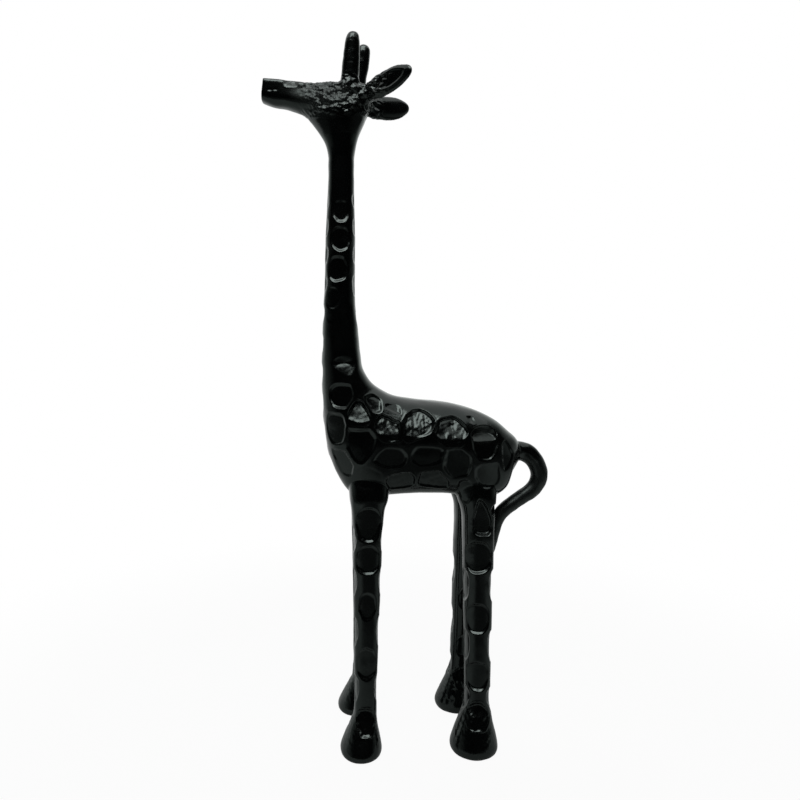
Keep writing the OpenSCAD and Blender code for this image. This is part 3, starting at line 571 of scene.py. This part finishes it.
# The cheeks swell down to a ledge above the throat.
cheek = np.interp(z, [464, 478, 491, 503], [0, 1.2, 0.1, 0.3]) * fade(x, -2, 10) * fade(x, 42, -6)
skin[:, 1] += np.sign(y) * cheek * fade(np.abs(y), 1.8, 6)
normals = skin_normals(skin, quads)
# Weld grain over the crown and cheeks, hammer marks on the hooves, a hand-forged wave on the tail.
weld = fade(z, 476, 4) * fade(x, -18, 14) * fade(x, 52, -10) * np.maximum(fade(z, 508, -8), 0.12)
hammered = fade(z, 34, -10) * fade(z, 8, 6)
on_tail = np.clip(fade(x, 152, 6) + (np.abs(y) < 7) * (x > 130) * (z < 186) * (z > 135), 0, 1)
skin += normals * (burr + 0.08 * ripple(skin, (15, 15, 15), 1) + 0.008 * ripple(skin, (4, 4, 4), 2)
                   + 0.075 * gouged * streaks
                   + weld * (0.24 * ripple(skin, (3.4, 3.4, 2.8), 4) + 0.50 * ripple(skin, (8, 8, 6), 5))
                   + hammered * 0.05 * ripple(skin, (3.2, 3.2, 3.2), 6)
                   + 0.10 * on_tail * ripple(skin, (9, 9, 9), 7))[:, None]
normals = skin_normals(skin, quads)

# ---- black enamel --------------------------------------------------------------------------------
# Gloss black baked enamel, sprayed over the cast skin. It fills the finest pores, pools in the
# gouged floors and shows a faint orange peel. It is duller over the weld grain and on the tail.


class Wire:
    """A shader socket that can be written in sums."""

    def __init__(self, finish, socket):
        self.finish, self.socket = finish, socket

    def maths(self, operation, *others):
        return self.finish.node("ShaderNodeMath", {"operation": operation}, self, *others)

    def __add__(self, other):
        return self.maths("ADD", other)

    def __mul__(self, other):
        return self.maths("MULTIPLY", other)

    __radd__, __rmul__ = __add__, __mul__


class Finish:
    """A material or a world, its shader and the nodes that feed it."""

    def __init__(self, owner, shader="Principled BSDF"):
        owner.use_nodes = True
        self.owner = owner
        self.tree = owner.node_tree
        self.shader = self.tree.nodes[shader]

    def node(self, kind, settings, *inputs, output=0, **named):
        """A new node of that type: its settings first, then what its sockets take."""
        made = self.tree.nodes.new(kind)
        for key, value in settings.items():
            if key == "stops":
                ramp = made.color_ramp
                while len(ramp.elements) < len(value):
                    ramp.elements.new(0.5)
                for element, (place, colour) in zip(ramp.elements, value):
                    element.position, element.color = place, colour
            else:
                setattr(made, key, value)
        for place, value in list(enumerate(inputs)) + list(named.items()):
            socket = made.inputs[place if isinstance(place, int) else place.replace("_", " ")]
            self.fill(socket, value)
        return Wire(self, made.outputs[output])

    def fill(self, socket, value):
        if isinstance(value, Wire):
            self.tree.links.new(value.socket, socket)
        else:
            socket.default_value = value

    def feed(self, name, value):
        self.fill(self.shader.inputs[name], value)

    def blend(self, share, first, second):
        """From the first colour to the second as the share goes from 0 to 1."""
        return self.node("ShaderNodeMix", {"data_type": "RGBA"}, share, output=2, A=first, B=second)

    def ease(self, value, low, high, start=0.0, end=1.0):
        """From start to end, softly, as the value goes from low to high."""
        return self.node("ShaderNodeMapRange", {"interpolation_type": "SMOOTHSTEP"}, value,
                         From_Min=low, From_Max=high, To_Min=start, To_Max=end)


def round_place(finish, where, middle, half_size, core):
    """1 in the core of an egg-shaped place on the statue, fading to 0 at its skin."""
    off = finish.node("ShaderNodeVectorMath", {"operation": "SUBTRACT"}, where, [v / 1000 for v in middle])
    off = finish.node("ShaderNodeVectorMath", {"operation": "DIVIDE"}, off, [v / 1000 for v in half_size])
    far = finish.node("ShaderNodeVectorMath", {"operation": "LENGTH"}, off, output="Value")
    return finish.ease(far, core, 1.0, 1.0, 0.0)


enamel = Finish(bpy.data.materials.new("black_enamel"))
where = enamel.node("ShaderNodeTexCoord", {}, output="Object")
peel = enamel.node("ShaderNodeTexNoise", {}, Vector=where, Scale=900.0, Detail=2.0)
cloud = enamel.node("ShaderNodeTexNoise", {}, Vector=where, Scale=90.0, Detail=3.0)
grain = enamel.node("ShaderNodeTexNoise", {}, Vector=where, Scale=300.0, Detail=1.5)
grained = round_place(enamel, where, (chest_x + 12, 0, 488.5), (30, 30, 17), 0.6)
dull_tail = round_place(enamel, where, (chest_x + 160, 0, 180), (36, 12, 46), 0.9)
dull_rump = round_place(enamel, where, (chest_x + 122, 0, 238), (13, 60, 9), 0.6)
dull_crown = round_place(enamel, where, (chest_x + 6, 0, 492), (36, 25, 16), 0.6)
enamel.feed("Base Color", enamel.blend(cloud, (0.0010, 0.0012, 0.0012, 1), (0.0022, 0.0026, 0.0026, 1)))
enamel.feed("Roughness", 0.10 + 0.12 * cloud + 0.22 * (dull_tail + 0.8 * dull_rump + 1.1 * dull_crown))
enamel.feed("Normal", enamel.node("ShaderNodeBump", {}, Height=0.03 * peel + 1.3 * grained * grain,
                                  Strength=1.0, Distance=0.0008))
enamel.feed("IOR", 1.5)
enamel.feed("Specular Tint", (0.86, 1.0, 0.95, 1))

# ---- the pieces ----------------------------------------------------------------------------------
# The skin is parted at the joints: two torso shells, neck, head, horns, ears, tail and four legs.
# Each part is closed by the flat faces of its joints and stands for its solid in the frame.
leg_names = list(leg_kinds)
solids = {"torso_left": "torso_left_shell", "torso_right": "torso_right_shell", "neck": "neck_casting",
          "head": "head_casting", "horn_left": "horn_left", "horn_right": "horn_right",
          "ear_left": "ear_left", "ear_right": "ear_right", "tail": "tail_casting"}
solids.update({"leg_" + name: "leg_" + name for name in leg_names})
parts = list(solids)
torso_left, torso_right, neck_part, head_part, left_horn, _, left_ear, _, tail_part, first_leg, *_ = range(
    len(parts))
at = skin[quads].mean(1)
label = np.where(at[:, 1] < 0, torso_left, torso_right)
label[at[:, 2] > neck_joint_z] = neck_part
label[at[:, 2] > head_joint_z] = head_part
for i, (side, joint, *_) in enumerate(leg_kinds.values()):
    own_end = (at[:, 0] < belly_middle) == (joint < belly_middle)
    label[(at[:, 2] < leg_joint_z) & (at[:, 1] * side > 0) & own_end] = first_leg + i
# The tail is what lies close round its middle line, from its root on the rump.
tail_root = 159.0
spine = np.stack([tail_spine[:, 0], 0 * tail_spine[:, 0], tail_spine[:, 1]], 1)
maybe = np.nonzero((at[:, 0] > 128) & (np.abs(at[:, 1]) < 9) & (at[:, 2] > 135) & (at[:, 2] < 235))[0]
gap = np.linalg.norm(at[maybe][:, None] - spine[None], axis=2)
close = gap.min(1) < 1.25 * tail_spine[gap.argmin(1), 2] + 0.6
label[maybe[close & ((at[maybe, 0] > tail_root) | (at[maybe, 2] < 197))]] = tail_part
# Each joint: the two parts, a point on its plane and the way that the plane faces.
upward, rearward = (0, 0, 1), (1, 0, 0)
joints = [(torso_left, torso_right, (0, 0, 0), (0, 1, 0)),
          (torso_left, neck_part, (0, 0, neck_joint_z), upward),
          (torso_right, neck_part, (0, 0, neck_joint_z), upward),
          (neck_part, head_part, (0, 0, head_joint_z), upward),
          (torso_left, tail_part, (tail_root, 0, 0), rearward),
          (torso_right, tail_part, (tail_root, 0, 0), rearward)]
joints += [(torso_left if side < 0 else torso_right, first_leg + i, (0, 0, leg_joint_z), upward)
           for i, (side, *_) in enumerate(leg_kinds.values())]
for i in (0, 1):
    low, high = on_horn(np.array([[0, 0, 8.0], [0, 0, 9.0]]), i)
    near = np.linalg.norm(np.cross(at - low, high - low), axis=1) < 9
    label[near & ((at - low) @ (high - low) > 0) & (at[:, 2] > 500)] = left_horn + i
    joints.append((head_part, left_horn + i, low, high - low))
for i in (0, 1):
    low, high = on_ear(np.array([[0, 0, 7.0], [0, 0, 8.0]]), i)
    near = (np.linalg.norm(at - low, axis=1) < 45) & (at[:, 1] * ear_roots[i][2] > 4)
    label[near & ((at - low) @ (high - low) > 0) & (label == head_part)] = left_ear + i
    joints.append((head_part, left_ear + i, low, high - low))

# Corners on a joint move onto its plane, so that both parts end flat.
touch = np.zeros((len(skin), len(parts)), bool)
for i in range(len(parts)):
    touch[quads[label == i].ravel(), i] = True
for a, b, point, normal in joints:
    shared = touch[:, a] & touch[:, b]
    normal = np.array(normal, float)
    skin[shared] -= ((skin[shared] - point) @ normal)[:, None] * normal / (normal @ normal)


def chains(links):
    """Chains of corners from a list of directed edges."""
    onward = dict(links)
    starts = [a for a in onward if a not in set(onward.values())]
    made = []
    while onward:
        here = starts.pop() if starts else next(iter(onward))
        line = [here]
        while here in onward:
            here = onward.pop(here)
            line.append(here)
        made.append(line)
    return made


def part(number):
    """One part: its share of the skin, and the outlines of the flat faces at its joints."""
    own = quads[label == number]
    sides = np.vstack([own[:, [i, (i + 1) % 4]] for i in range(4)])
    forward = {(a, b) for a, b in sides.tolist()}
    border = [(b, a) for a, b in forward if (b, a) not in forward]
    caps = []
    for a, b, point, normal in joints:
        if number not in (a, b):
            continue
        other = b if number == a else a
        loops = chains([(p, q) for p, q in border if touch[p, other] and touch[q, other]])
        while loops:
            line = loops.pop()
            # An open chain goes on with the nearest one, unless its own start is nearer.
            while line[0] != line[-1] and loops:
                gaps = [np.linalg.norm(skin[chain[0]] - skin[line[-1]]) for chain in loops]
                if min(gaps) > np.linalg.norm(skin[line[0]] - skin[line[-1]]):
                    break
                line += loops.pop(int(np.argmin(gaps)))
            if line[0] == line[-1]:
                line.pop()
            if len(line) > 2:
                caps.append(line)
    return own, caps


for number, name in enumerate(parts):
    own, caps = part(number)
    triangles = []
    for line in caps:
        for t in geometry.tessellate_polygon([[Vector(skin[i]) for i in line]]):
            triangles.append([line[t[0]], line[t[1]], line[t[2]]])
    corners = np.concatenate([own.ravel(), np.array(triangles, int).ravel()])
    used, flat = np.unique(corners, return_inverse=True)
    faces = flat[:own.size].reshape(-1, 4).tolist() + flat[own.size:].reshape(-1, 3).tolist()
    mesh = bpy.data.meshes.new(name)
    mesh.from_pydata(((skin[used] + [chest_x, 0, 0]) / 1000).tolist(), [], faces)
    smooth = np.ones(len(faces), bool)
    smooth[len(own):] = False
    mesh.polygons.foreach_set("use_smooth", smooth)
    mesh.update()
    corner_normals = np.empty(len(mesh.loops) * 3, np.float32)
    mesh.corner_normals.foreach_get("vector", corner_normals)
    corner_normals = corner_normals.reshape(-1, 3)
    corner_normals[:own.size] = normals[own.ravel()]
    mesh.normals_split_custom_set(corner_normals.tolist())
    mesh.materials.append(enamel.owner)
    piece = bpy.data.objects.new(name + "_skin", mesh)
    bpy.context.scene.collection.objects.link(piece)
    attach(piece, "root")
    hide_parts(solids[name])

# ---- foot pads -----------------------------------------------------------------------------------
# A disc of black wool felt glued under each hoof, so that the statue doesn't scratch what it
# stands on. The frame's own discs stay.


def dress(names, finish):
    """Gives the frame's own solids of those names a finish."""
    for name in names:
        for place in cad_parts[name].material_slots:
            place.material = finish.owner


felt = Finish(bpy.data.materials.new("black_felt"))
where = felt.node("ShaderNodeTexCoord", {}, output="Object")
fibre = felt.node("ShaderNodeTexNoise", {}, Vector=where, Scale=1500.0, Detail=4.0)
felt.feed("Base Color", felt.blend(fibre, (0.008, 0.008, 0.008, 1), (0.035, 0.034, 0.033, 1)))
felt.feed("Roughness", 1.0)
felt.feed("Normal", felt.node("ShaderNodeBump", {}, Height=fibre, Strength=0.8, Distance=0.0004))
dress(["foot_pad_" + name for name in leg_names], felt)

# ---- screws, studs, dowels and pin ---------------------------------------------------------------
# Zinc-plated steel, hidden inside: a socket screw and washer up each leg, a stud and nut at the neck,
# a stud at the head, a pin across the tail's peg and dowels between the shells. The frame's own stay.
steel = Finish(bpy.data.materials.new("zinc_steel"))
where = steel.node("ShaderNodeTexCoord", {}, output="Object")
blotch = steel.node("ShaderNodeTexNoise", {}, Vector=where, Scale=300.0, Detail=3.0)
steel.feed("Base Color", steel.blend(blotch, (0.52, 0.53, 0.55, 1), (0.64, 0.65, 0.66, 1)))
steel.feed("Metallic", 1.0)
steel.feed("Roughness", 0.25 + 0.2 * blotch)
dress(["leg_screws", "leg_washers", "neck_stud", "neck_nut", "neck_washer", "head_stud", "tail_pin",
       "shell_dowels"], steel)

# ---- floor ---------------------------------------------------------------------------------------
# A plain white floor, on which the statue throws its shadow, in a painted pool of soft light. The painted
# light stops short of the room's walls, and whoever stands in front leaves a painted dark shape in it.


def stage_mesh(name, points, faces, finish):
    """A piece of the stage, which is no part of the statue."""
    mesh = bpy.data.meshes.new(name)
    mesh.from_pydata(points, [], faces)
    mesh.materials.append(finish.owner)
    made = bpy.data.objects.new(name, mesh)
    bpy.context.scene.collection.objects.link(made)
    return made


paper = Finish(bpy.data.materials.new("white_paper"))
place = paper.node("ShaderNodeTexCoord", {}, output="Object")


def paper_distance(x, y, squeeze=1.0):
    """How far a place on the floor is from a point, with the x distance counted several times over."""
    off = paper.node("ShaderNodeVectorMath", {"operation": "SUBTRACT"}, place, (x, y, 0))
    off = paper.node("ShaderNodeVectorMath", {"operation": "MULTIPLY"}, off, (squeeze, 1.0, 0))
    return paper.node("ShaderNodeVectorMath", {"operation": "LENGTH"}, off, output="Value")


# The painted pool of light, a painted glow on the floor to the far left that the enamel mirrors, the
# visitor's painted shadow, and a floor that is a little less than white near the statue, so that the shadow
# shows.
painted_light_pool = paper.ease(paper_distance(-0.30, 0.25), 0.85, 1.35, 1.0, 0.10)
far_glow = paper.ease(paper_distance(-1.3, 1.5), 1.1, 1.8, 0.9, 0.01)
painted_visitor_shadow = paper.ease(paper_distance(0.06, -0.62, 2.6), 0.25, 0.70, 0.04, 1.0)
whiter = paper.ease(paper_distance(0, 0), 0.25, 0.6, 0.95, 1.0)
# Painted light: the pool of light and the visitor's shadow are painted into the floor's colour.
paper.feed("Base Color", paper.blend(painted_light_pool * painted_visitor_shadow, (0, 0, 0, 1), (0.62, 0.64, 0.63, 1)))
paper.feed("Roughness", 0.9)
seen = paper.node("ShaderNodeLightPath", {}, output="Is Camera Ray")
mirrored = (paper.node("ShaderNodeLightPath", {}, output="Is Glossy Ray")
            + paper.node("ShaderNodeLightPath", {}, output="Is Transmission Ray"))
glow = paper.node("ShaderNodeEmission", {}, Color=(1, 1, 1, 1), Strength=1.0)
# The far glow is painted light: the floor's far left shows white emission, but only in reflections.
surface = paper.node("ShaderNodeMixShader", {}, seen * whiter + far_glow * mirrored,
                     Wire(paper, paper.shader.outputs[0]), glow)
paper.fill(paper.tree.nodes["Material Output"].inputs["Surface"], surface)
stage_mesh("floor", [(-6, -6, 0), (6, -6, 0), (6, 6, 0), (-6, 6, 0)], [(0, 1, 2, 3)], paper)

# ---- room ----------------------------------------------------------------------------------------
# A dull wall all round, which the camera doesn't see. It glows though it is no lamp, and its painted glow
# stands in for light and shade on a room's walls. It is dark in front of the statue and pale behind it,
# more so low down, and the room is open above to a plain white sky.
wall_reach, wall_top, wall_sides = 3.0, 3.1, 72
turns = [2 * np.pi * i / wall_sides for i in range(wall_sides)]
ring = [(wall_reach * np.sin(t), -wall_reach * np.cos(t), z) for z in (-0.01, wall_top) for t in turns]
wall = Finish(bpy.data.materials.new("glowing_wall"))
where = wall.node("ShaderNodeTexCoord", {}, output="Object")
behind = 0.5 + 0.5 / wall_reach * wall.node("ShaderNodeSeparateXYZ", {}, where, output="Y")
low_wall_glow = wall.node("ShaderNodeValToRGB", {"stops": [
    (0.0, (0, 0, 0, 1)), (0.14, (0.003, 0.003, 0.003, 1)), (0.35, (0.14, 0.15, 0.145, 1)),
    (0.60, (0.30, 0.32, 0.31, 1)), (0.78, (0.8, 0.84, 0.82, 1))]}, behind)
high_wall_glow = wall.node("ShaderNodeValToRGB", {"stops": [
    (0.0, (0, 0, 0, 1)), (0.45, (0.006, 0.006, 0.006, 1)), (0.66, (0.25, 0.27, 0.26, 1)),
    (0.82, (0.75, 0.79, 0.77, 1)), (0.98, (0.95, 0.97, 0.96, 1))]}, behind)
rise = wall.ease(wall.node("ShaderNodeSeparateXYZ", {}, where, output="Z"), 0.5, 1.2)
wall.feed("Base Color", (0, 0, 0, 1))
wall.feed("Roughness", 1.0)
wall.feed("Specular IOR Level", 0.0)
# The wall's painted glow: dark in front, pale behind, paler low down.
wall.feed("Emission Color", wall.blend(rise, low_wall_glow, high_wall_glow))
wall.feed("Emission Strength", 1.0)
panels = []
for i in range(wall_sides):
    onward = (i + 1) % wall_sides
    panels.append((i, onward, wall_sides + onward, wall_sides + i))
room = stage_mesh("room_wall", ring, panels, wall)
room.visible_camera = False

studio = Finish(bpy.data.worlds.new("studio"), "Background")
bpy.context.scene.world = studio.owner
seen = studio.node("ShaderNodeLightPath", {}, output="Is Camera Ray")
for ray in ("Is Glossy Ray", "Is Transmission Ray"):
    seen = seen.maths("MAXIMUM", studio.node("ShaderNodeLightPath", {}, output=ray))
studio.feed("Color", (1, 1, 1, 1))
studio.feed("Strength", 0.3 + 0.7 * seen)

# ---- lamp ----------------------------------------------------------------------------------------
# One broad flat soft lamp, above and in front. It spans those elevations in degrees, seen from the
# middle of the statue. A brightness of 1 would be that of the white sky.
statue_middle = Vector((0, 0, 0.27))
lamp_turn, lamp_low, lamp_high = -12, 43, 70
lamp_reach, lamp_breadth, lamp_brightness = 2.6, 1.75, 4.6
lift, turn = np.radians((lamp_low + lamp_high) / 2), np.radians(lamp_turn)
toward = Vector((np.sin(turn) * np.cos(lift), -np.cos(turn) * np.cos(lift), np.sin(lift)))
softbox_data = bpy.data.lights.new("softbox", "AREA")
softbox_data.shape = "RECTANGLE"
softbox_data.size = lamp_breadth
softbox_data.size_y = 2 * lamp_reach * np.tan(np.radians((lamp_high - lamp_low) / 2))
softbox_data.energy = lamp_brightness * softbox_data.size * softbox_data.size_y * np.pi
softbox = bpy.data.objects.new("softbox", softbox_data)
softbox.location = statue_middle + toward * lamp_reach
softbox.rotation_euler = toward.to_track_quat("Z", "Y").to_euler()
bpy.context.scene.collection.objects.link(softbox)

# ---- camera --------------------------------------------------------------------------------------
# It stands close in front of the statue's left side, just over half its height, and looks a little
# down and to the rear.
camera_data = bpy.data.cameras.new("camera")
camera_data.lens = 27.81
camera_data.sensor_width = 36
camera_data.shift_x = 0.0696
camera = bpy.data.objects.new("camera", camera_data)
camera.location = ((chest_x - 0.95) / 1000, -0.481, 0.290)
yaw, pitch = np.radians(2.3), np.radians(3.10)
ahead = Vector((np.sin(yaw) * np.cos(pitch), np.cos(yaw) * np.cos(pitch), -np.sin(pitch)))
camera.rotation_euler = ahead.to_track_quat("-Z", "Y").to_euler()
bpy.context.scene.collection.objects.link(camera)
bpy.context.scene.camera = camera
bpy.context.scene.view_settings.view_transform = "Standard"
